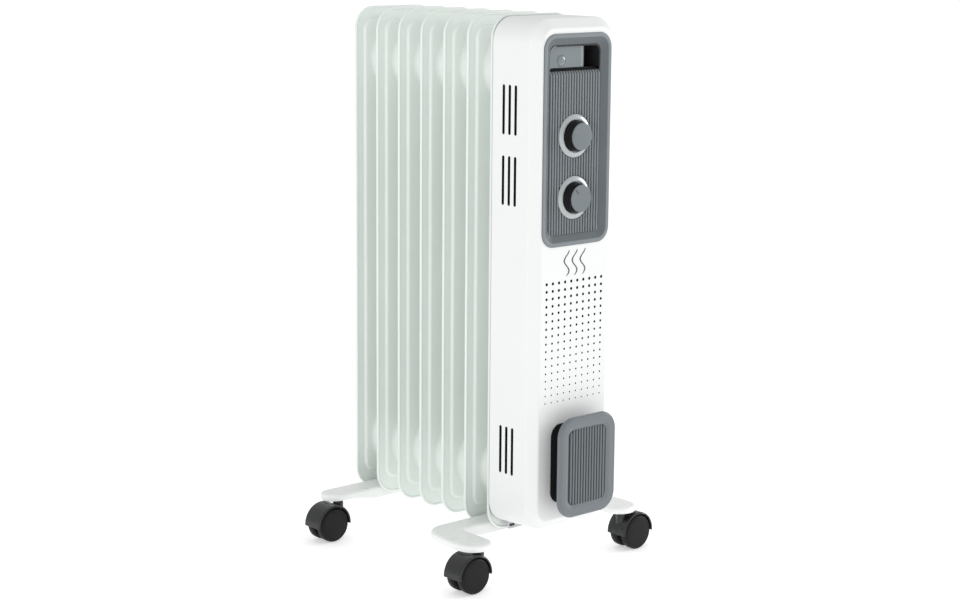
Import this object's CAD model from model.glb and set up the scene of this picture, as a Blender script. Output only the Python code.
"""Oil filled radiator heater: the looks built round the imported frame."""

import math

import bmesh
import bpy
from mathutils import Matrix, Vector


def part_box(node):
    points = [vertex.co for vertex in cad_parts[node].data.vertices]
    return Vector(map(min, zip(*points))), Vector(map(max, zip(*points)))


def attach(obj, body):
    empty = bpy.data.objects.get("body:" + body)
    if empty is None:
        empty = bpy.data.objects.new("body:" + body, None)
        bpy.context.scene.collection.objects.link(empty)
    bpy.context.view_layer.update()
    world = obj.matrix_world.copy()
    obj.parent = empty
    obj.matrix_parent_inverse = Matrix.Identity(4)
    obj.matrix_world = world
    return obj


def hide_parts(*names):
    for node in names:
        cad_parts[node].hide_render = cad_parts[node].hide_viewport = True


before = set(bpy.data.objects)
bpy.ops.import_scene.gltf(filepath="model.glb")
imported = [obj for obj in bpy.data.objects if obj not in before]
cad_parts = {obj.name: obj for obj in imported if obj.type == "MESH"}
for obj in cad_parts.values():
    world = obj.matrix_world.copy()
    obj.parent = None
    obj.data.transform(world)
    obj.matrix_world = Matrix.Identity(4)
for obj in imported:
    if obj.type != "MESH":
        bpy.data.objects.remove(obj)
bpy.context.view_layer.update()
MM = 0.001
TAU = 2 * math.pi


# ---------------------------------------------------------------- camera
CAMERA_TURN = (-0.7297, 0.1859, 0.0079)  # azimuth, elevation and roll, radians
CAMERA_AT = (-1.52856, -1.70129, 0.71937)  # metres
CAMERA_LENS = 76.68  # millimetres, on a sensor 36 wide


def make_camera():
    """Sets the camera that looks at the heater's front left corner."""
    az, el, roll = CAMERA_TURN
    back = Vector((math.sin(az) * math.cos(el), -math.cos(az) * math.cos(el), math.sin(el)))
    right = Vector((math.cos(az), math.sin(az), 0))
    up = back.cross(right)
    r2 = math.cos(roll) * right + math.sin(roll) * up
    u2 = -math.sin(roll) * right + math.cos(roll) * up
    data = bpy.data.cameras.new("camera")
    data.sensor_width = 36
    data.lens = CAMERA_LENS
    data.clip_end = 100
    cam = bpy.data.objects.new("camera", data)
    place = Matrix((r2, u2, back)).transposed().to_4x4()
    place.translation = Vector(CAMERA_AT)
    cam.matrix_world = place
    bpy.context.collection.objects.link(cam)
    bpy.context.scene.camera = cam


# ---------------------------------------------------------------- mesh tools
def rounded(w, h, r, seg=10):
    """Rounded rectangle outline, counter-clockwise."""
    r = max(min(r, w / 2 - 1e-4, h / 2 - 1e-4), 2e-4)
    pts = []
    for k, (sx, sz) in enumerate(((1, 1), (-1, 1), (-1, -1), (1, -1))):
        for i in range(seg + 1):
            a = math.radians(90 * k + 90 * i / seg)
            pts.append((sx * (w / 2 - r) + r * math.cos(a), sz * (h / 2 - r) + r * math.sin(a)))
    return pts


def slab_ring(w, h, r, y, z, seg=10):
    """A rounded rectangle standing in the plane at y, centred at height z."""
    return [(u, y, z + v) for u, v in rounded(w, h, r, seg)]


def loft(rings, loop=False):
    """Skin over rings of equal count, with end caps, or closed on itself."""
    n = len(rings[0])
    count = len(rings)
    verts = [p for ring in rings for p in ring]
    faces = []
    for i in range(count if loop else count - 1):
        j = (i + 1) % count
        for k in range(n):
            m = (k + 1) % n
            faces.append((i * n + k, i * n + m, j * n + m, j * n + k))
    if not loop:
        faces.append(tuple(range(n))[::-1])
        faces.append(tuple(range((count - 1) * n, count * n)))
    return verts, faces


AXES = {
    "-y": (Vector((0, -1, 0)), Vector((1, 0, 0)), Vector((0, 0, 1))),
    "+y": (Vector((0, 1, 0)), Vector((0, 0, 1)), Vector((1, 0, 0))),
    "+z": (Vector((0, 0, 1)), Vector((1, 0, 0)), Vector((0, 1, 0))),
}


def lathe(profile, centre, axis="-y", seg=72, loop=False):
    """Turned shape from (radius, distance along the axis) points in millimetres."""
    a, u, v = AXES[axis]
    c = Vector(centre)
    angles = [TAU * k / seg for k in range(seg)]
    rings = []
    for r, d in profile:
        rings.append([tuple(c + (a * d + (u * math.cos(t) + v * math.sin(t)) * r) * MM) for t in angles])
    return loft(rings, loop)


def prism(outline, start, end, place):
    """Straight extrusion: place(u, v, t) gives the point of outline (u, v) at depth t."""
    return loft([[place(u, v, start) for u, v in outline], [place(u, v, end) for u, v in outline]])


def merge(*parts):
    """Several shapes as one, each a list of points and a list of faces."""
    verts, faces = [], []
    for vs, fs in parts:
        base = len(verts)
        verts += [tuple(p) for p in vs]
        faces += [tuple(base + i for i in f) for f in fs]
    return verts, faces


def arc(cu, cv, r, a0, a1, n=8):
    """Points of an arc from angle a0 to a1 in degrees."""
    return [(cu + r * math.cos(math.radians(a0 + (a1 - a0) * i / n)),
             cv + r * math.sin(math.radians(a0 + (a1 - a0) * i / n))) for i in range(n + 1)]


def inset(outline, g):
    """A closed outline moved inwards by g along its corner normals."""
    n = len(outline)
    out = []
    for i in range(n):
        p, q, s = Vector(outline[i - 1]), Vector(outline[i]), Vector(outline[(i + 1) % n])
        d1, d2 = (q - p).normalized(), (s - q).normalized()
        n1, n2 = Vector((-d1.y, d1.x)), Vector((-d2.y, d2.x))
        m = (n1 + n2).normalized()
        out.append(tuple(q + m * (g / max(m.dot(n1), 0.5))))
    return out


def new_object(name, shape):
    """A mesh object from a shape, with doubled points joined and normals facing out."""
    mesh = bpy.data.meshes.new(name)
    mesh.from_pydata(shape[0], [], shape[1])
    bm = bmesh.new()
    bm.from_mesh(mesh)
    bmesh.ops.remove_doubles(bm, verts=bm.verts, dist=2e-6)
    bmesh.ops.recalc_face_normals(bm, faces=bm.faces)
    bm.to_mesh(mesh)
    bm.free()
    obj = bpy.data.objects.new(name, mesh)
    bpy.context.collection.objects.link(obj)
    return obj


def piece(name, shape, material, body="heater", nodes=(), bevel=0.0, sharp=38, segments=2):
    """A finished piece: smooth shading, optional edge rounding, its body, slot and CAD nodes."""
    obj = shape if isinstance(shape, bpy.types.Object) else new_object(name, shape)
    mesh = obj.data
    mesh.materials.clear()
    mesh.materials.append(material)
    mesh.polygons.foreach_set("use_smooth", [True] * len(mesh.polygons))
    if bevel:
        mod = obj.modifiers.new("edge", "BEVEL")
        mod.width = bevel
        mod.segments = segments
        mod.limit_method = "ANGLE"
        mod.angle_limit = math.radians(sharp)
        mod.harden_normals = False
    else:
        mesh.set_sharp_from_angle(angle=math.radians(sharp))
    mod = obj.modifiers.new("normals", "WEIGHTED_NORMAL")
    mod.keep_sharp = True
    mod.weight = 80
    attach(obj, body)
    if nodes:
        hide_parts(*nodes)
    return obj


def cut(obj, shape):
    """Takes a cutter shape out of an object, for good."""
    cutter = new_object(obj.name + "_cutter", shape)
    mod = obj.modifiers.new("cut", "BOOLEAN")
    mod.operation = "DIFFERENCE"
    mod.solver = "EXACT"
    mod.object = cutter
    graph = bpy.context.evaluated_depsgraph_get()
    mesh = bpy.data.meshes.new_from_object(obj.evaluated_get(graph))
    obj.modifiers.clear()
    obj.data = mesh
    bpy.data.objects.remove(cutter)


def second_material(obj, material, test):
    """Gives the faces whose centre passes the test a second material."""
    obj.data.materials.append(material)
    for face in obj.data.polygons:
        if test(face.center):
            face.material_index = 1


def span(node):
    """Centre, width (x), depth (y) and height (z) of a CAD node."""
    lo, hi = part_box(node)
    return (lo + hi) / 2, hi - lo


# ---------------------------------------------------------------- materials
class Graph:
    """Small helper for building a node tree."""

    def __init__(self, name):
        self.mat = bpy.data.materials.new(name)
        self.mat.use_nodes = True
        self.tree = self.mat.node_tree
        self.bsdf = self.tree.nodes["Principled BSDF"]
        self.coord = self.tree.nodes.new("ShaderNodeTexCoord").outputs["Object"]

    def node(self, kind, inputs=None, **props):
        n = self.tree.nodes.new(kind)
        for key, value in props.items():
            setattr(n, key, value)
        for key, value in (inputs or {}).items():
            if isinstance(value, bpy.types.NodeSocket):
                self.tree.links.new(value, n.inputs[key])
            else:
                n.inputs[key].default_value = value
        return n

    def noise(self, scale, detail=3, rough=0.5, stretch=(1, 1, 1)):
        """Noise fixed to the object's own coordinates."""
        v = self.node("ShaderNodeMapping", {"Vector": self.coord, "Scale": stretch}).outputs["Vector"]
        return self.node("ShaderNodeTexNoise", {"Vector": v, "Scale": scale, "Detail": detail,
                                                "Roughness": rough}).outputs["Fac"]

    def spread(self, fac, lo, hi, start=0.3, end=0.7):
        """Stretches the middle of a noise over lo to hi."""
        return self.node("ShaderNodeMapRange", {"Value": fac, "From Min": start, "From Max": end,
                                                "To Min": lo, "To Max": hi}).outputs["Result"]

    def blend(self, fac, a, b):
        """Mixes two colours, each a socket or an RGB triple."""
        n = self.node("ShaderNodeMix", data_type="RGBA")
        self.tree.links.new(fac, n.inputs["Factor"])
        for socket, value in ((n.inputs[6], a), (n.inputs[7], b)):
            if isinstance(value, bpy.types.NodeSocket):
                self.tree.links.new(value, socket)
            else:
                socket.default_value = (*value, 1)
        return n.outputs[2]

    def bump(self, height, strength, distance, normal=None):
        inputs = {"Height": height, "Strength": strength, "Distance": distance}
        if normal is not None:
            inputs["Normal"] = normal
        return self.node("ShaderNodeBump", inputs).outputs["Normal"]

    def wire(self, socket, value):
        if isinstance(value, bpy.types.NodeSocket):
            self.tree.links.new(value, self.bsdf.inputs[socket])
        else:
            self.bsdf.inputs[socket].default_value = value


def shade(rgb, k):
    """A colour made lighter or darker by the factor k."""
    return tuple(min(1.0, c * k) for c in rgb)


def coating(name, rgb, rough, tone=0.03, orange=0.0, grain=0.0, specks=0.0, coat=0.0, metal=0.0,
            specular=0.5):
    """Paint or moulded plastic: slow tone drift, fine grain, orange peel and dust specks."""
    g = Graph(name)
    slow = g.spread(g.noise(7, 2), 0, 1)
    fine = g.noise(900, 2, 0.6)
    colour = g.blend(slow, shade(rgb, 1 - tone), shade(rgb, 1 + tone))
    if specks:
        dots = g.spread(g.noise(2600, 1), 0, specks, 0.66, 0.74)
        colour = g.blend(dots, colour, shade(rgb, 0.6))
    g.wire("Base Color", colour)
    g.wire("Roughness", g.spread(g.noise(60, 3), rough - 0.05, rough + 0.05))
    g.wire("Metallic", metal)
    g.wire("Specular IOR Level", specular)
    normal = None
    if orange:
        normal = g.bump(g.noise(240, 1), orange, 0.0006)
    if grain:
        normal = g.bump(fine, grain, 0.0003, normal)
    if normal is not None:
        g.wire("Normal", normal)
    if coat:
        g.wire("Coat Weight", coat)
        g.wire("Coat Roughness", 0.08)
    return g.mat


def brushed(name, rgb, rough, stretch=(1, 1, 1), metal=1.0, depth=0.2):
    """Metal or metallised plastic with fine lines along one direction."""
    g = Graph(name)
    lines = g.noise(500, 3, 0.6, stretch)
    slow = g.spread(g.noise(20, 2), 0, 1)
    colour = g.blend(slow, shade(rgb, 0.94), shade(rgb, 1.06))
    colour = g.blend(g.spread(lines, 0, 0.35), colour, shade(rgb, 0.8))
    g.wire("Base Color", colour)
    g.wire("Roughness", g.spread(lines, rough - 0.07, rough + 0.1))
    g.wire("Metallic", metal)
    g.wire("Normal", g.bump(lines, depth, 0.0002))
    return g.mat


def turned(name, rgb, rough, centre, metal=0.8):
    """Satin face with concentric turning lines round a centre line along Y."""
    g = Graph(name)
    v = g.node("ShaderNodeMapping", {"Vector": g.coord, "Location": (-centre[0], 0, -centre[2]),
                                     "Scale": (1, 0, 1)}).outputs["Vector"]
    radius = g.node("ShaderNodeVectorMath", {0: v}, operation="LENGTH").outputs["Value"]
    rings = g.node("ShaderNodeTexNoise", {"W": radius, "Scale": 2600, "Detail": 2.0},
                   noise_dimensions="1D").outputs["Fac"]
    slow = g.spread(g.noise(40, 2), 0, 1)
    colour = g.blend(slow, shade(rgb, 0.95), shade(rgb, 1.05))
    g.wire("Base Color", g.blend(g.spread(rings, 0, 0.4), colour, shade(rgb, 0.85)))
    g.wire("Roughness", g.spread(rings, rough - 0.06, rough + 0.08))
    g.wire("Metallic", metal)
    g.wire("Normal", g.bump(rings, 0.12, 0.0001))
    return g.mat


ENAMEL = coating("fin_enamel", (0.83, 0.88, 0.845), 0.34, tone=0.015, orange=0.05, specks=0.05, coat=0.25)
DRUM = coating("drum_enamel", (0.84, 0.89, 0.855), 0.38, tone=0.02, orange=0.08, specks=0.06, coat=0.2)
WHITE = coating("white_moulding", (0.86, 0.87, 0.87), 0.36, tone=0.008, grain=0.06, specks=0.02)
FOOT_WHITE = coating("foot_enamel", (0.93, 0.945, 0.935), 0.32, tone=0.012, orange=0.08, specks=0.04,
                     coat=0.3)
GREY = coating("grey_moulding", (0.135, 0.155, 0.167), 0.42, tone=0.03, grain=0.2, specks=0.08)
SLOPE = coating("bezel_slope", (0.115, 0.133, 0.144), 0.5, tone=0.03, grain=0.25, specks=0.08)
LIP = coating("bezel_lip", (0.20, 0.225, 0.24), 0.36, tone=0.02, grain=0.1, specks=0.04)
RIM = coating("wrap_rim", (0.162, 0.184, 0.197), 0.36, tone=0.02, grain=0.1, specks=0.04)
INSERT = coating("insert_moulding", (0.215, 0.24, 0.255), 0.34, tone=0.03, grain=0.12, specks=0.05)
PANEL = coating("indicator_moulding", (0.186, 0.214, 0.229), 0.34, tone=0.02, grain=0.08, specks=0.03)
LENS = coating("lens_moulding", (0.178, 0.207, 0.222), 0.2, tone=0.02, grain=0.02, coat=0.6)
CAVITY = coating("cavity_black", (0.014, 0.014, 0.015), 0.5, tone=0.1, grain=0.15)
BLACK = coating("black_moulding", (0.008, 0.0085, 0.009), 0.38, tone=0.1, grain=0.15, specks=0.2,
                specular=0.22)
HOOD = coating("hood_black", (0.0125, 0.0135, 0.015), 0.27, tone=0.05, grain=0.04, specks=0.05,
               specular=0.42, coat=0.12)
HUB = coating("hub_black", (0.006, 0.0065, 0.007), 0.6, tone=0.1, grain=0.15, specular=0.06)
TREAD = coating("tread_black", (0.009, 0.009, 0.010), 0.45, tone=0.12, grain=0.35, specks=0.3, specular=0.18)
GROOVE_SHADE = coating("groove_shade", (0.02, 0.0225, 0.0245), 0.55, tone=0.05, grain=0.1)
FAINT = coating("faint_print", (0.2, 0.21, 0.22), 0.45, tone=0.05, grain=0.1)
PRINT = coating("grey_print", (0.055, 0.058, 0.062), 0.5, tone=0.05, grain=0.1)
RING = coating("ring_silver", (0.45, 0.48, 0.49), 0.25, tone=0.03, grain=0.05, metal=0.35, coat=0.2)
PLATED = brushed("plated_steel", (0.55, 0.56, 0.58), 0.34, (1, 12, 1))
BRACKET = coating("bracket_grey", (0.56, 0.58, 0.58), 0.34, tone=0.05, orange=0.1, specks=0.1, metal=0.2)
INNER = brushed("inner_steel", (0.09, 0.092, 0.095), 0.6, (1, 12, 1), 0.4)
SCREW = brushed("screw_black", (0.05, 0.05, 0.055), 0.4, (8, 1, 1), metal=0.6)
WIRE = coating("wire_cover", (0.03, 0.03, 0.033), 0.5, tone=0.1, grain=0.2)
TERMINAL = coating("terminal_moulding", (0.75, 0.75, 0.72), 0.45, tone=0.03, grain=0.2)
GLASS = coating("lamp_glass", (0.75, 0.42, 0.25), 0.12, tone=0.05, grain=0.02, coat=0.5)


# ---------------------------------------------------------------- fins and drums
# Half of a fin's section: inset from its edge and half thickness, in millimetres, panel first.
FIN_HALF = ((17.0, 3.4), (15.0, 3.38), (14.0, 3.25), (13.3, 2.8), (12.7, 2.0), (12.2, 1.2), (11.7, 0.8),
            (11.1, 0.66), (3.5, 0.62), (3.05, 0.66), (2.8, 0.9), (2.5, 1.35), (2.05, 1.62), (1.45, 1.7),
            (0.85, 1.58), (0.35, 1.15), (0.06, 0.5), (0.0, 0.0))


PANEL_FROM = 10  # inset past which a fin's raised oil panel starts
PANEL_SHORTER = 7.0
PANEL_RISE = 2.4


def fin_shape(centre, size):
    """One fin: a sheet with a rolled edge and a raised panel that is shorter than the sheet."""
    def ring(i, depth, side):
        on_panel = 1.0 if i > PANEL_FROM else 0.0
        r = (15 - (i - 11)) if on_panel else 26 - i
        tall = size.z - (2 * i + PANEL_SHORTER * on_panel) * MM
        return slab_ring(size.x - 2 * i * MM, tall, max(r, 3) * MM,
                         centre.y + side * depth * MM, centre.z + PANEL_RISE * on_panel * MM, 12)
    front = [ring(i, d, -1) for i, d in FIN_HALF]
    rear = [ring(i, d, 1) for i, d in FIN_HALF[-2::-1]]
    return loft(front + rear)


def make_fins():
    """Seven fins, front to back."""
    for n in range(1, 8):
        centre, size = span("fin_%d" % n)
        piece("fin_sheet_%d" % n, fin_shape(centre, size), ENAMEL, nodes=["fin_%d" % n], sharp=50)


def make_drums():
    """Pressed collars between the fins, flared into each panel, with a welded seam half way."""
    for node in ("drums_lower", "drums_upper"):
        centre, size = span(node)
        r = size.z / 2 / MM
        shapes = []
        fins = [span("fin_%d" % n) for n in range(7, 0, -1)]
        for (c0, s0), (c1, s1) in zip(fins, fins[1:]):
            y0 = c0.y + s0.y / 2
            length = (c1.y - s1.y / 2 - y0) / MM
            half = [(r + 4.0, -0.05), (r + 2.4, 0.35), (r + 1.0, 1.1), (r, 2.4), (r - 0.6, 4.4),
                    (r - 1.1, 7.5), (r - 1.7, 11.5), (r - 2.4, 13.8), (r - 2.6, 14.4), (r - 1.9, 14.8),
                    (r - 1.7, length / 2)]
            full = half + [(q, length - d) for q, d in half[-2::-1]]
            shapes.append(lathe(full, (0, y0, centre.z), "+y", 72))
        piece(node + "_pressed", merge(*shapes), DRUM, nodes=[node], sharp=60)
    size = span("rear_caps")[1]
    lo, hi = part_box("rear_caps")
    r = size.x / 2 / MM
    d = size.y / MM
    dome = [(r + 1.5, 0.0), (r + 0.4, 0.3), (r, 1.0), (r - 0.5, 2.6), (r - 1.6, d - 1.1), (r - 3.2, d - 0.3),
            (r - 6, d), (r - 9, d - 0.2), (r - 11, d - 1.2), (r - 13, d - 1.5)]
    caps = [lathe(dome, (0, lo.y, z), "+y", 64) for z in (lo.z + size.x / 2, hi.z - size.x / 2)]
    piece("rear_caps_pressed", merge(*caps), DRUM, nodes=["rear_caps"], sharp=60)


# ---------------------------------------------------------------- housing
LOUVRE_ROWS = (144.5, 441.0, 516.9)  # heights of the three groups, millimetres
LOUVRE_Y = -105.2
LOUVRE_PITCH = 9.4
LOUVRE_SIZE = (3.9, 53.5)
VENT_ROWS = 17
VENT_COLUMNS = 10
VENT_PITCH = (9.13, 8.18)
VENT_TOP = 331.8
VENT_WIDEST = 3.5
VENT_TAPER = 1.8


def slot_cutter(x0, x1, y, z, w, h):
    """A bar with round ends, lying along x."""
    ends = arc(0, h / 2 - w / 2, w / 2, 0, 180, 8) + arc(0, -h / 2 + w / 2, w / 2, 180, 360, 8)
    return prism(ends, x0, x1, lambda u, v, t: (t, y + u, z + v))


def bottom_rise(y, front, back):
    """How far the housing's bottom edge stands above its box, front to back, in metres."""
    return (1.0 - 2.8 * (y - front) / (back - front)) * MM


def depth_below_skin(point, lo, hi):
    """How far a point lies below the housing's outer skin, in metres."""
    r = 26 * MM
    low = lo.z + bottom_rise(point.y, lo.y, hi.y)
    u = abs(point.x) - ((hi.x - lo.x) / 2 - r)
    v = abs(point.z - (low + hi.z) / 2) - ((hi.z - low) / 2 - r)
    edge = r - (math.hypot(u, v) if u > 0 and v > 0 else max(u, v))
    ahead = point.y - lo.y
    bevel = ((edge - 1.2 * MM) * 0.906 + ahead - 8.45 * MM) / 1.35
    return min(edge, ahead, bevel)


def make_housing():
    """The white shell, with its louvres, vents, bezel opening and a notch for the bracket."""
    centre, size = span("housing")
    lo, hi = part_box("housing")
    w, h, zc = size.x, size.z, centre.z
    front, back = lo.y, hi.y

    def ring(i, y, seg=14):
        raised = bottom_rise(y, front, back)
        return slab_ring(w - 2 * i * MM, h - 2 * i * MM - raised, (26 - i) * MM, y, zc + raised / 2, seg)

    rings = [ring(12.6, front + 2.2 * MM), ring(11.6, front + 2.2 * MM), ring(2.2, front + 10.9 * MM),
             ring(2.2, back - 0.4 * MM), ring(1.8, back), ring(0.6, back), ring(0.15, back - 0.2 * MM),
             ring(0, back - 0.8 * MM), ring(0, front + 12.2 * MM), ring(0, front + 11.0 * MM),
             ring(0.13, front + 10.1 * MM), ring(0.55, front + 9.2 * MM), ring(1.2, front + 8.45 * MM),
             ring(9.4, front + 1.02 * MM), ring(10.1, front + 0.45 * MM), ring(11.0, front + 0.1 * MM),
             ring(12.1, front), ring(12.6, front)]
    obj = new_object("housing_shell", loft(rings))
    cutters = []
    wide, tall = LOUVRE_SIZE
    for z in LOUVRE_ROWS:
        for k in (-1, 0, 1):
            y = (LOUVRE_Y + LOUVRE_PITCH * k) * MM
            for x in (lo.x, hi.x):
                cutters.append(slot_cutter(x - 0.01, x + 0.01, y, z * MM, wide * MM, tall * MM))
    bz, bs = span("bezel")
    opening = rounded(bs.x - 5.0 * MM, bs.z - 5.0 * MM, 14.5 * MM, 10)
    cutters.append(prism(opening, front - 0.01, front + 0.02, lambda u, v, t: (u, t, bz.z + v)))
    for row in range(VENT_ROWS):
        d = (VENT_WIDEST - VENT_TAPER * row / (VENT_ROWS - 1)) * MM
        for col in range(VENT_COLUMNS):
            x = (col - (VENT_COLUMNS - 1) / 2) * VENT_PITCH[0] * MM
            hole = arc(x, (VENT_TOP - row * VENT_PITCH[1]) * MM, d / 2, 0, 345, 11)
            cutters.append(prism(hole, front - 0.002, front + 0.005, lambda u, v, t: (u, t, v)))
    bl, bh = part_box("lower_bracket")
    notch = [(bl.x - 0.3 * MM, bl.y - 0.3 * MM), (bh.x + 0.3 * MM, bl.y - 0.3 * MM),
             (bh.x + 0.3 * MM, back + 1 * MM), (bl.x - 0.3 * MM, back + 1 * MM)]
    cutters.append(prism(notch, lo.z - 5 * MM, lo.z + 4 * MM, lambda u, v, t: (u, v, t)))
    cut(obj, merge(*cutters))
    shell = piece("housing_shell", obj, WHITE, nodes=["housing"], sharp=33)
    second_material(shell, CAVITY, lambda c: depth_below_skin(c, lo, hi) > 0.5 * MM and c.y < back - 0.6 * MM)


def make_bracket():
    """Steel bracket under the housing's rear edge, with its screws, and the lead's gland."""
    lo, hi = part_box("lower_bracket")
    c, s = span("lower_bracket")

    def ring(i, y):
        return slab_ring(s.x - 2 * i * MM, s.z - 2 * i * MM, (3 - i) * MM, y, c.z, 6)

    rings = [ring(0.4, hi.y), ring(0, hi.y - 0.3 * MM), ring(0, lo.y + 0.5 * MM),
             ring(0.15, lo.y + 0.15 * MM), ring(0.5, lo.y), ring(1.6, lo.y), ring(2.0, lo.y + 0.35 * MM),
             ring(2.4, lo.y + 0.4 * MM)]
    piece("lower_bracket_plate", loft(rings), BRACKET, nodes=["lower_bracket"], sharp=50)
    slo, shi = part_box("bracket_screws")
    r = (shi.z - slo.z) / 2
    heads = []
    for side in (-1, 1):
        for x in (shi.x - r, shi.x - r - 3.7 * MM):
            profile = [(0.9, -0.3), (1.5, 0.0), (1.5, 0.35), (1.4, 0.75), (1.15, 1.05), (0.75, 1.2),
                       (0.55, 0.8), (0.2, 0.75)]
            heads.append(lathe(profile, (side * x, lo.y, (slo.z + shi.z) / 2), "-y", 24))
    piece("bracket_screw_heads", merge(*heads), SCREW, nodes=["bracket_screws"])
    c, s = span("cord_gland")
    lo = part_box("cord_gland")[0]
    tall = s.z / MM
    flange = [(3.7, 0.6), (4.2, 0.1), (5.0, 0.0), (8.0, 0.2), (8.8, 0.8), (9.0, 1.6), (9.0, 3.0), (6.8, 3.0),
              (6.8, tall), (3.7, tall)]
    piece("gland_sleeve", lathe(flange, (c.x, c.y, lo.z), "+z", 48, True), BLACK,
          nodes=["cord_gland"], sharp=50)


# ---------------------------------------------------------------- bezel, insert, recess
def make_bezel():
    """Frame round the ribbed field: a flat lip, then a slope down to the field."""
    c, s = span("bezel")
    lo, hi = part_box("bezel")
    lip = lo.y
    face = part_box("housing")[0].y
    field_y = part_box("ribbed_insert")[1].y - 2 * MM
    skirt = hi.y

    def ring(i, y):
        r = 17 - i if i < 5 else 12.4 - (i - 4.6) * 0.62
        return slab_ring(s.x - 2 * i * MM, s.z - 2 * i * MM, max(r, 7.2) * MM, y, c.z, 12)

    rings = [ring(0, face), ring(0, lip + 0.55 * MM), ring(0.12, lip + 0.25 * MM), ring(0.4, lip + 0.04 * MM),
             ring(0.8, lip), ring(3.4, lip), ring(4.0, lip + 0.06 * MM), ring(4.6, lip + 0.3 * MM),
             ring(11.5, field_y - 0.45 * MM), ring(12.1, field_y - 0.1 * MM), ring(12.3, field_y + 0.3 * MM),
             ring(12.3, skirt), ring(3.6, skirt), ring(3.6, face)]
    frame_piece = piece("bezel_frame", loft(rings, True), SLOPE, nodes=["bezel"], sharp=50)
    second_material(frame_piece, LIP, lambda q: q.y < lip + 0.2 * MM)


GROOVE = -0.9 * MM
RIB_CREST = 1.3 * MM
RIB_COUNT = 19


def make_insert():
    """Ribbed field, one skin swept up the face and back into the recess."""
    lo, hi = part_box("ribbed_insert")
    face = hi.y - 2 * MM
    pitch = (hi.x - lo.x) / RIB_COUNT
    across = []
    for k in range(RIB_COUNT):
        mid = lo.x + (k + 0.5) * pitch
        for u in (-1.0, -0.58, -0.56, -0.5, -0.37, -0.18, 0, 0.18, 0.37, 0.5, 0.56, 0.58):
            crest = RIB_CREST * math.sqrt(max(0.0, 1 - (u / 0.6) ** 2))
            across.append((mid + u * pitch / 2, GROOVE if abs(u) > 0.57 else crest))
    across.append((hi.x, GROOVE))
    bend = 7 * MM
    top = hi.z - bend
    path = [(face, lo.z, -1.0, 0.0), (face, lo.z + 0.02, -1.0, 0.0), (face, (lo.z + top) / 2, -1.0, 0.0),
            (face, top - 0.002, -1.0, 0.0)]
    for k in range(9):
        a = math.radians(90 * k / 8)
        path.append((face + bend - bend * math.cos(a), top + bend * math.sin(a), -math.cos(a), math.sin(a)))
    path.append((face + bend + 6 * MM, hi.z, 0.0, 1.0))
    rings = []
    for y, z, ny, nz in path:
        sink = RIB_CREST if nz > 0.99 else RIB_CREST * nz
        ring = [(x, y + ny * t, z + nz * t - sink) for x, t in across]
        back = -1.8 * MM
        ring += [(x, y + ny * back, z + nz * back) for x in (hi.x, lo.x)]
        rings.append(ring)
    obj = new_object("ribbed_field", loft(rings))
    dlo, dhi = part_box("dial_rings")
    r = (dhi.x - dlo.x) / 2
    gaps = []
    for z in (dhi.z - r, dlo.z + r):
        gaps.append(prism(arc(0, z, r + 0.5 * MM, 0, 357, 119), face - 4 * MM, face - GROOVE * 0.95,
                          lambda u, v, t: (u, t, v)))
    cut(obj, merge(*gaps))
    field = piece("ribbed_field", obj, INSERT, nodes=["ribbed_insert"], sharp=60)
    groove = {round(x / MM, 3) for x, t in across if t == GROOVE}
    darken_grooves(field, groove, face + 0.7 * MM, top, hi.z - 2.2 * MM)


def darken_grooves(obj, columns, deep, bend, top):
    """Gives a second, darker material to the grooves' floors and to the ribs' tails above top."""
    mesh = obj.data
    mesh.materials.append(GROOVE_SHADE)
    floor = [round(v.co.x / MM, 3) in columns for v in mesh.vertices]
    for face in mesh.polygons:
        sunk = face.center.z < bend and deep < face.center.y < deep + 0.5 * MM
        if sunk or all(floor[i] for i in face.vertices) or face.center.z > top:
            face.material_index = 1


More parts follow.
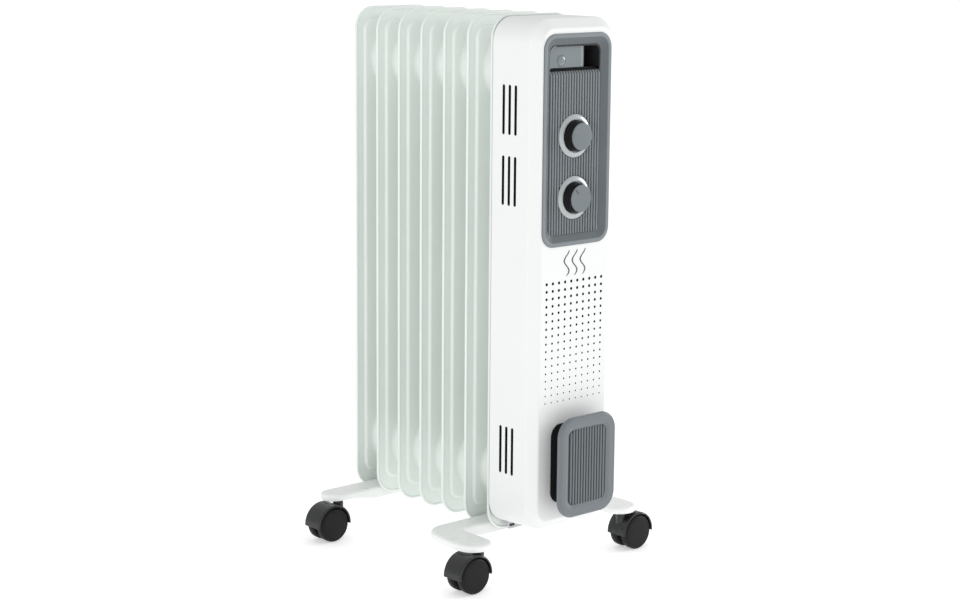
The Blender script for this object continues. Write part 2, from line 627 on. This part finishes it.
def make_recess():
    """Finger recess behind the ribs' tops, with the indicator block and its lens in its left part."""
    lo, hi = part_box("grip_cup")
    floor_z = lo.z + 0.3 * MM

    def ring(i, y):
        """Rounded at the top and square at the bottom, where the ribs run in."""
        right = hi.x - i * MM
        r = (9 - i) * MM
        low = floor_z - (1.6 - i) * MM
        high = hi.z - i * MM - r
        top = arc(right - r, high, r, 0, 90, 10) + arc(r - right, high, r, 90, 180, 10)
        return [(u, y, v) for u, v in top + [(-right, low), (right, low)]]

    rings = [ring(2.4, hi.y - 1.6 * MM), ring(1.6, hi.y - 1.6 * MM), ring(1.6, lo.y + 4.6 * MM),
             ring(1.6, lo.y + 0.3 * MM), ring(1.3, lo.y), ring(0.3, lo.y), ring(0, lo.y + 0.3 * MM),
             ring(0, hi.y - 0.5 * MM), ring(0.5, hi.y)]
    obj = new_object("grip_pocket", loft(rings))
    lip = [(lo.x - 0.002, lo.z - 0.004), (hi.x + 0.002, lo.z - 0.004), (hi.x + 0.002, floor_z + 0.4 * MM),
           (lo.x - 0.002, floor_z + 0.4 * MM)]
    cut(obj, prism(lip, lo.y - 0.002, lo.y + 7 * MM, lambda u, v, t: (u, t, v)))
    pocket = piece("grip_pocket", obj, CAVITY, nodes=["grip_cup"], sharp=50)
    panel_lo, panel_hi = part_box("indicator_block")
    second_material(pocket, PANEL, lambda q: q.x < -0.028 and q.y < panel_lo.y + 1 * MM)
    r = 11 * MM
    left, low, high = lo.x + 0.2 * MM, lo.z + 0.9 * MM, hi.z - 0.2 * MM
    outline = [(left, panel_hi.y), (left, panel_lo.y)]
    outline += arc(panel_hi.x - r, panel_lo.y + r, r, -90, 0, 16) + [(panel_hi.x, panel_hi.y)]
    block = prism(outline, low, high, lambda u, v, t: (u, v, t))
    piece("indicator_body", block, PANEL, nodes=["indicator_block"],
          bevel=0.8 * MM, segments=3)
    c = span("pilot_lens")[0]
    y = panel_lo.y
    trim = [(5.75, -0.3), (5.75, 0.1), (5.85, 0.2), (6.15, 0.2), (6.3, 0.1), (6.35, 0.0), (6.35, -0.3)]
    piece("lens_trim", lathe(trim, (c.x, y, c.z), "-y", 64, True), GREY)
    dome = [(5.6, -0.4), (5.6, 0.05), (5.3, 0.28), (4.4, 0.5), (2.8, 0.68), (1.2, 0.75), (0.4, 0.77)]
    piece("lens_dome", lathe(dome, (c.x, y, c.z), "-y", 48), LENS, nodes=["pilot_lens"])


# ---------------------------------------------------------------- dials
POINTER_SIZE = (1.2 * MM, 6.2 * MM)
POINTER_OUT = 9.6 * MM
CAP_GREY = (0.172, 0.195, 0.209)


def make_dials():
    """The two dial rings, and on each a knob with its satin cap and pointer line."""
    lo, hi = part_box("dial_rings")
    y = hi.y
    r = (hi.x - lo.x) / 2 / MM
    zs = (hi.z - r * MM, lo.z + r * MM)
    profile = [(r - 0.4, 0.0), (r, 0.3), (r, 0.85), (r - 0.25, 1.25), (r - 1.3, 1.95), (r - 2.7, 2.5),
               (r - 4.1, 2.82), (r - 5.0, 2.9), (r - 5.5, 2.82), (r - 5.8, 2.5), (r - 5.85, 1.45),
               (4.2, 1.35), (4.2, 0.0)]
    rings = [lathe(profile, (0, y, z), "-y", 96, True) for z in zs]
    piece("dial_ring_pair", merge(*rings), RING, nodes=["dial_rings"], sharp=50)
    for name, z, turn, ink in (("thermostat", zs[0], -60, FAINT), ("selector", zs[1], -40, PRINT)):
        lo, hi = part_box(name + "_knob")
        body = name + "_dial"
        base = hi.y
        deep = (hi.y - lo.y) / MM
        rb = (hi.x - lo.x) / 2 / MM
        rf = span(name + "_face")[1].x / 2 / MM
        side = [(rb - 1.2, 0.2), (rb - 0.35, 0.3), (rb, 0.75), (rb - 0.15, 1.8), (rf + 0.45, deep - 1.2),
                (rf + 0.25, deep - 0.5), (rf - 0.05, deep - 0.1), (rf - 0.4, deep - 0.1),
                (rf - 0.8, deep - 0.5)]
        piece(name + "_grip", lathe(side, (0, base, z), "-y", 96), BLACK,
              body=body, nodes=[name + "_knob"], sharp=50)
        face = [(rf - 0.6, -0.3), (rf + 0.1, -0.1), (rf + 0.1, 0.12), (rf - 0.15, 0.42), (rf - 0.7, 0.58),
                (2.0, 0.6)]
        satin = turned(name + "_satin", CAP_GREY, 0.38, (0, 0, z), 0.4)
        disc = lathe(face, (0, lo.y, z), "-y", 96)
        piece(name + "_cap", disc, satin, body=body, nodes=[name + "_face"], sharp=50)
        a = math.radians(turn)
        outward = Vector((math.sin(a), 0, math.cos(a)))
        across = Vector((math.cos(a), 0, -math.sin(a)))
        mark = rounded(*POINTER_SIZE, 0.5 * MM, 5)
        mid = Vector((0, lo.y - 0.52 * MM, z)) + outward * POINTER_OUT
        shape = prism(mark, 0, 0.22 * MM,
                      lambda u, v, t: tuple(mid + across * u + outward * v - Vector((0, t, 0))))
        piece(name + "_pointer", shape, ink, body=body, bevel=0.05 * MM)


# ---------------------------------------------------------------- cord wrap
WRAP_RIBS = 13
WRAP_PITCH = 4.12 * MM
RIB_DROPS = (0.0, 0.0, 0.0, 0.0, 0.0, 1.0, 3.4)  # how much shorter each end is, from the middle rib out
RIB_ENDS = ((0, 0.9), (0.012, 0.45), (0.03, 0.12), (0.06, 0.0), (0.94, 0.0), (0.97, 0.12), (0.988, 0.45),
            (1, 0.9))  # part of the length, and what the radius loses there


def make_wrap():
    """The spool the lead winds on, and its cover plate with upright ribs in a shallow pocket."""
    c, s = span("wrap_hub")
    lo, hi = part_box("wrap_hub")

    def hub(i, y):
        return slab_ring(s.x - 2 * i * MM, s.z - 2 * i * MM, (14 - i) * MM, y, c.z, 12)

    rings = [hub(1, lo.y), hub(0.3, lo.y + 0.3 * MM), hub(0, lo.y + 1 * MM), hub(0, lo.y + 5.0 * MM),
             hub(0.4, lo.y + 5.7 * MM), hub(1.2, lo.y + 6.4 * MM), hub(2.2, lo.y + 7.4 * MM),
             hub(2.5, lo.y + 8.6 * MM), hub(2.5, hi.y - 7.6 * MM), hub(2.2, hi.y - 6.4 * MM),
             hub(1.2, hi.y - 5.4 * MM), hub(0.3, hi.y - 4.7 * MM), hub(0, hi.y - 4.0 * MM),
             hub(0, hi.y - 0.4 * MM), hub(0.4, hi.y)]
    piece("wrap_spool", loft(rings), HUB, nodes=["wrap_hub"], sharp=50)
    c, s = span("wrap_plate")
    lo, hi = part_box("wrap_plate")

    def ring(i, y):
        return slab_ring(s.x - 2 * i * MM, s.z - 2 * i * MM, max(21 - i, 7.5) * MM, y, c.z, 12)

    f = lo.y
    rings = [ring(4, hi.y), ring(0.8, hi.y), ring(0.2, hi.y - 0.3 * MM), ring(0, hi.y - 0.9 * MM),
             ring(0, f + 2.2 * MM), ring(0.15, f + 1.5 * MM), ring(0.6, f + 0.75 * MM),
             ring(1.4, f + 0.25 * MM), ring(2.4, f), ring(2.8, f + 0.3 * MM), ring(3.3, f + 0.3 * MM),
             ring(3.7, f),
             ring(9.0, f + 0.05 * MM), ring(9.8, f + 0.2 * MM), ring(13.2, f + 1.35 * MM),
             ring(13.9, f + 1.5 * MM), ring(15, f + 1.5 * MM)]
    bars = []
    tall = s.z - 24.5 * MM
    middle = WRAP_RIBS // 2
    for k in range(WRAP_RIBS):
        x = (k - middle) * WRAP_PITCH
        bar = []
        drop = RIB_DROPS[abs(k - middle)] * MM
        for t, g in RIB_ENDS:
            z = c.z - (tall / 2 - drop) + t * (tall - 2 * drop)
            q = (1.25 - g) * MM
            section = arc(0, 0, max(q, 0.2 * MM), 180, 360, 8) + [(q, 0.5 * MM), (-q, 0.5 * MM)]
            bar.append([(x + u, f + 1.5 * MM + v, z) for u, v in section])
        bars.append(loft(bar))
    shape = merge(loft(rings), *bars)
    cover = piece("wrap_cover", shape, RIM, nodes=["wrap_plate"], sharp=50)
    second_material(cover, GROOVE_SHADE, lambda q: f + 1.47 * MM < q.y < f + 1.6 * MM)


def make_mark():
    """Generic raised mark: three rising heat waves."""
    lo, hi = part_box("heat_mark")
    zc = (lo.z + hi.z) / 2
    shapes = []
    for x in (-12, 0, 12):
        rings = []
        for k in range(33):
            t = k / 32
            z = zc + (t - 0.5) * (hi.z - lo.z)
            u = x * MM + 3.6 * MM * math.sin(t * TAU * 1.25)
            q = (0.85 * math.sqrt(max(0.02, 1 - abs(2 * t - 1) ** 6))) * MM
            rings.append([(u - q, hi.y + 0.1 * MM, z), (u + q, hi.y + 0.1 * MM, z), (u + q * 0.8, lo.y, z),
                          (u - q * 0.8, lo.y, z)])
        shapes.append(loft(rings))
    piece("wave_mark", merge(*shapes), PRINT, nodes=["heat_mark"], sharp=70)


# ---------------------------------------------------------------- feet
def pressed(outline, top, low, thick):
    """Channel pressed from sheet: rounded shoulders, flanges down to low(x), hollow below."""
    rings = []
    for g, d in ((5.0, 0), (3.2, 0.0), (2.2, 0.16), (1.3, 0.55), (0.6, 1.15), (0.15, 2.0), (0.0, 3.0)):
        rings.append([(x, y, top - d * MM) for x, y in inset(outline, g * MM)])
    rings.append([(x, y, low(x) + 0.3 * MM) for x, y in outline])
    rings.append([(x, y, low(x)) for x, y in inset(outline, 0.4 * MM)])
    rings.append([(x, y, low(x)) for x, y in inset(outline, thick - 0.4 * MM)])
    rings.append([(x, y, low(x) + 0.3 * MM) for x, y in inset(outline, thick)])
    rings.append([(x, y, top - 3.0 * MM - thick * 0.3) for x, y in inset(outline, thick)])
    for g, d in ((0.6, 0.9), (2.0, 0.16), (3.6, 0.0)):
        rings.append([(x, y, top - thick - d * MM) for x, y in inset(outline, thick + g * MM)])
    return loft(rings)


FOOT_TOP = 52.4 * MM
FOOT_SHEET = 1.8 * MM
FOOT_WIDTH = 29 * MM
FLANGE_LOW = 39.4  # millimetres, as are the four below
FLANGE_RISE = 5.8
TAPER_FROM = 62
TAPER_LENGTH = 30
SOCKET_R = 8.0


def make_feet():
    """The two pressed feet, with a dimple over each castor stem and a sleeve round it."""
    lo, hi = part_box("foot_front")
    sockets_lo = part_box("stem_sockets")[0]

    def low(x):
        """Height of the flanges' lower edge, which rises towards the ends."""
        a = abs(x) / MM
        t = min(max((a - TAPER_FROM) / TAPER_LENGTH, 0), 1)
        return (FLANGE_LOW + FLANGE_RISE * t) * MM

    reach = hi.x
    pad_r = 20 * MM
    pad_x = reach - pad_r
    back = hi.y
    front = back - FOOT_WIDTH
    pad_y = lo.y + pad_r
    bend = FOOT_WIDTH
    bx = reach - 5 * MM - bend
    fillet = 6 * MM
    right = [(x, front) for x in (0.0, 0.03, 0.06)]
    right += arc(pad_x - pad_r - fillet, front - fillet, fillet, 90, 0, 5)
    right += [(pad_x - pad_r, (front + pad_y) / 2)]
    right += arc(pad_x, pad_y, pad_r, 180, 360, 16)
    right += [(reach, pad_y + 12 * MM), (reach - 1.2 * MM, pad_y + 26 * MM)]
    right += arc(bx, front, bend, 12, 90, 10)
    right += [(0.06, back), (0.03, back)]
    left = [(-x, y) for x, y in right[::-1] if x > 1e-6]
    outline = right + [(0.0, back)] + left
    piece("foot_front_pressed", pressed(outline, FOOT_TOP, low, FOOT_SHEET), FOOT_WHITE,
          nodes=["foot_front"], sharp=50)
    lo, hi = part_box("foot_rear")
    half = (hi.y - lo.y) / 2
    mid = (hi.y + lo.y) / 2
    right = [(x, lo.y) for x in (0.0, 0.03, 0.06, 0.09)]
    right += arc(hi.x - half, mid, half, -90, 90, 18)
    right += [(0.09, hi.y), (0.06, hi.y), (0.03, hi.y)]
    left = [(-x, y) for x, y in right[::-1] if x > 1e-6]
    outline = right + [(0.0, hi.y)] + left
    piece("foot_rear_pressed", pressed(outline, FOOT_TOP, low, FOOT_SHEET), FOOT_WHITE,
          nodes=["foot_rear"], sharp=50)
    room = half - 1.9 * MM
    dimples, sockets = [], []
    for x, y in stems():
        dimple = [(2.0, -0.7), (3.4, -0.6), (4.4, -0.2), (5.2, 0.4), (5.9, 0.62), (6.6, 0.5), (7.4, 0.1),
                  (7.8, -0.3), (7.8, -0.8)]
        dimples.append(lathe(dimple[::-1], (x, y, FOOT_TOP), "+z", 48))
        sleeve = [(4.1, 0.2), (4.6, 0.0), (7.4, 0.0), (7.9, 0.5), (SOCKET_R, 1.2), (SOCKET_R, 4.4), (4.1, 4.4)]
        verts, faces = lathe(sleeve, (x, y, sockets_lo.z), "+z", 40, True)
        if y > 0:
            verts = [within_channel(p, x, y, mid, hi.x - half, room) for p in verts]
        sockets.append((verts, faces))
    piece("stem_dimples", merge(*dimples), FOOT_WHITE, sharp=60)
    piece("stem_sleeves", merge(*sockets), BLACK, nodes=["stem_sockets"], sharp=50)


SLEEVE_CORE = 4.7 * MM  # a sleeve is never drawn in past this radius
DRAW_IN = 0.985


def within_channel(p, x, y, mid, straight, room):
    """Draws a point of a socket in towards its axis until it lies inside the rear foot's channel."""
    px, py, pz = p
    for _ in range(60):
        over = max(abs(px) - straight, 0.0)
        if math.hypot(over, py - mid) <= room or math.hypot(px - x, py - y) < SLEEVE_CORE:
            break
        px, py = x + (px - x) * DRAW_IN, y + (py - y) * DRAW_IN
    return px, py, pz


def stems():
    """Plan positions of the four castor stems, from the sockets' spacing."""
    lo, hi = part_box("stem_sockets")
    r = SOCKET_R * MM
    x = hi.x - r
    return [(-x, lo.y + r), (x, lo.y + r), (-x, hi.y - r), (x, hi.y - r)]


# ---------------------------------------------------------------- castors
def hood_shape(ax, ay, az, width, r, thick):
    """Half-round hood over both wheels, with rolled side edges and a rounded lower lip."""
    half = width / 2
    section = [(-half, r - 1.2 * MM), (-half + 0.4 * MM, r - 0.4 * MM), (-half + 1.3 * MM, r),
               (half - 1.3 * MM, r), (half - 0.4 * MM, r - 0.4 * MM), (half, r - 1.2 * MM),
               (half, r - thick), (half - 0.5 * MM, r - thick - 0.3 * MM),
               (-half + 0.5 * MM, r - thick - 0.3 * MM), (-half, r - thick)]
    rings = []
    angles = [-3, -2.2, 0] + [180 * k / 36 for k in range(1, 36)] + [180, 182.2, 183]
    for n, a in enumerate(angles):
        t = math.radians(a)
        tight = 0.35 * MM if n in (0, len(angles) - 1) else 0.0
        ring = []
        for v, q in section:
            qq = q - tight if q > r - thick / 2 else q + tight
            vv = v * (1 - 0.012 * (tight > 0))
            ring.append((ax + qq * math.cos(t), ay + vv, az + qq * math.sin(t)))
        rings.append(ring)
    return loft(rings)


CASTOR_TRAIL = 15 * MM


def make_castors():
    """Four castors, each a hood with its stem and two wheels."""
    for (sx, sy), key in zip(stems(), ("fl", "fr", "rl", "rr")):
        lo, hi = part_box("castor_" + key)
        wlo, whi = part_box("wheel_%s_a" % key)
        r = (whi.z - wlo.z) / 2
        ax, az = (wlo.x + whi.x) / 2, r
        width = hi.y - lo.y
        hood_r = (hi.x - lo.x) / 2
        hood = hood_shape(ax, sy, az, width, hood_r, 2.2 * MM)
        web = lathe([(4, -0.4), (5, 0), (5, 3), (4, 3.4)], (ax, sy - 1.5 * MM, az), "+y", 40)
        disc_r = hood_r - 1.2 * MM
        angles = [math.radians(a) for a in range(-3, 184, 6)]
        disc = [(ax + disc_r * math.cos(a), az + disc_r * math.sin(a)) for a in angles]
        plate = prism(disc, sy - 1.5 * MM, sy + 1.5 * MM, lambda u, v, t: (u, t, v))
        long = width / MM - 3.2
        axle_end = (ax, sy - width / 2 + 1.6 * MM, az)
        axle = lathe([(2.2, 0), (3, 0.6), (3, long - 0.6), (2.2, long)], axle_end, "+y", 32)
        neck = [(6.1, 8.0), (6.1, 22.4), (5.9, 23.6), (5.2, 24.6), (4.2, 24.9), (4.0, 25.2), (4.0, 30.0),
                (3.4, 30.8)]
        stem_low = az + math.sqrt(max(0.0, (hood_r - 1.4 * MM) ** 2 - (CASTOR_TRAIL + 6.2 * MM) ** 2))
        neck = [(a, max(b, (stem_low - az) / MM - 1)) for a, b in neck]
        post = lathe(neck, (sx, sy, az), "+z", 40)
        shape = merge(hood, plate, web, axle, post)
        piece("hood_" + key, shape, HOOD, body="swivel_" + key,
              nodes=["castor_" + key], sharp=45)
        for side, sgn in (("a", -1), ("b", 1)):
            wlo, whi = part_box("wheel_%s_%s" % (key, side))
            inner = wlo.y if sgn > 0 else whi.y
            w = (whi.y - wlo.y) / MM
            rr = r / MM
            profile = [(3.1, 0.3), (3.4, 0.0), (rr - 3.5, 0.0), (rr - 2.0, 0.4), (rr - 0.7, 1.2),
                       (rr - 0.12, 2.2), (rr, 3.2), (rr, w - 3.0), (rr - 0.18, w - 1.7), (rr - 0.8, w - 0.8),
                       (rr - 1.7, w - 0.25), (rr - 2.4, w - 0.15), (rr - 2.75, w - 0.55), (rr - 3.2, w - 0.6),
                       (rr - 3.6, w - 0.3), (rr - 5.0, w - 0.2), (12, w - 0.1), (8, w - 0.04), (4.5, w),
                       (1.5, w)]
            shape = lathe(profile, (ax, inner, az), "+y" if sgn > 0 else "-y", 80)
            piece("wheel_%s_%s_tyre" % (key, side), shape, TREAD, body="roller_%s_%s" % (key, side),
                  nodes=["wheel_%s_%s" % (key, side)], sharp=50)


# ---------------------------------------------------------------- kept CAD nodes
KEPT = {
    INNER: ("back_plate",),
    PLATED: ("heating_element", "filler_plug", "standoffs", "thermostat_shaft", "selector_shaft",
             "thermal_cutout", "wrap_screws", "foot_studs", "wing_nuts"),
    BLACK: ("thermostat", "selector_switch"),
    WIRE: ("wiring",),
    TERMINAL: ("terminal_block",),
    GLASS: ("pilot_lamp",),
}


def dress_kept_nodes():
    """Gives the CAD nodes that have no piece of their own their materials."""
    for material, nodes in KEPT.items():
        for name in nodes:
            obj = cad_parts[name]
            if not obj.material_slots:
                obj.data.materials.append(material)
            for s in obj.material_slots:
                s.material = material


# ---------------------------------------------------------------- studio
ROOM_LIGHT = 0.76
BACKDROP = 1.1  # how bright the room looks to the camera alone
FLOOR_GLOW = 0.42


def area_light(name, at, aim, size, watts):
    """A white rectangular light at one point, turned towards another."""
    data = bpy.data.lights.new(name, "AREA")
    data.shape = "RECTANGLE"
    data.size, data.size_y = size
    data.energy = watts
    lamp = bpy.data.objects.new(name, data)
    lamp.location = at
    lamp.rotation_euler = (Vector(aim) - Vector(at)).to_track_quat("-Z", "Y").to_euler()
    bpy.context.collection.objects.link(lamp)


def make_studio():
    """White room, three soft lights and a plain pale floor."""
    world = bpy.data.worlds.new("studio")
    world.use_nodes = True
    tree = world.node_tree
    sky = tree.nodes["Background"]
    sky.inputs["Color"].default_value = (1, 1, 1, 1)
    seen = tree.nodes.new("ShaderNodeLightPath").outputs["Is Camera Ray"]
    level = tree.nodes.new("ShaderNodeMapRange")
    level.inputs["To Min"].default_value = ROOM_LIGHT
    level.inputs["To Max"].default_value = BACKDROP
    tree.links.new(seen, level.inputs["Value"])
    tree.links.new(level.outputs["Result"], sky.inputs["Strength"])
    bpy.context.scene.world = world
    area_light("near_camera", (-2.3, -2.9, 1.5), (0, 0, 0.3), (1.6, 2.0), 3)
    area_light("left_side", (-3.3, -1.0, 0.6), (0, 0, 0.3), (1.6, 1.6), 13)
    area_light("right_front", (3.0, -1.45, 0.9), (0, 0, 0.3), (0.6, 0.8), 30)
    side = 12.0
    quad = [(-side, -side, 0), (side, -side, 0), (side, side, 0), (-side, side, 0)]
    floor = new_object("floor", ([(x, y, z - 0.0004) for x, y, z in quad], [(0, 1, 2, 3)]))
    g = Graph("floor_white")
    g.wire("Base Color", g.blend(g.spread(g.noise(3, 2), 0, 1), (0.88, 0.88, 0.88), (0.9, 0.9, 0.9)))
    g.wire("Roughness", g.spread(g.noise(30, 2), 0.7, 0.8))
    g.wire("Emission Color", (1, 1, 1, 1))
    g.wire("Emission Strength", FLOOR_GLOW)
    floor.data.materials.append(g.mat)
    bpy.context.scene.view_settings.view_transform = "Standard"


make_camera()
make_fins()
make_drums()
make_housing()
make_bracket()
make_bezel()
make_insert()
make_recess()
make_dials()
make_wrap()
make_mark()
make_feet()
make_castors()
dress_kept_nodes()
make_studio()
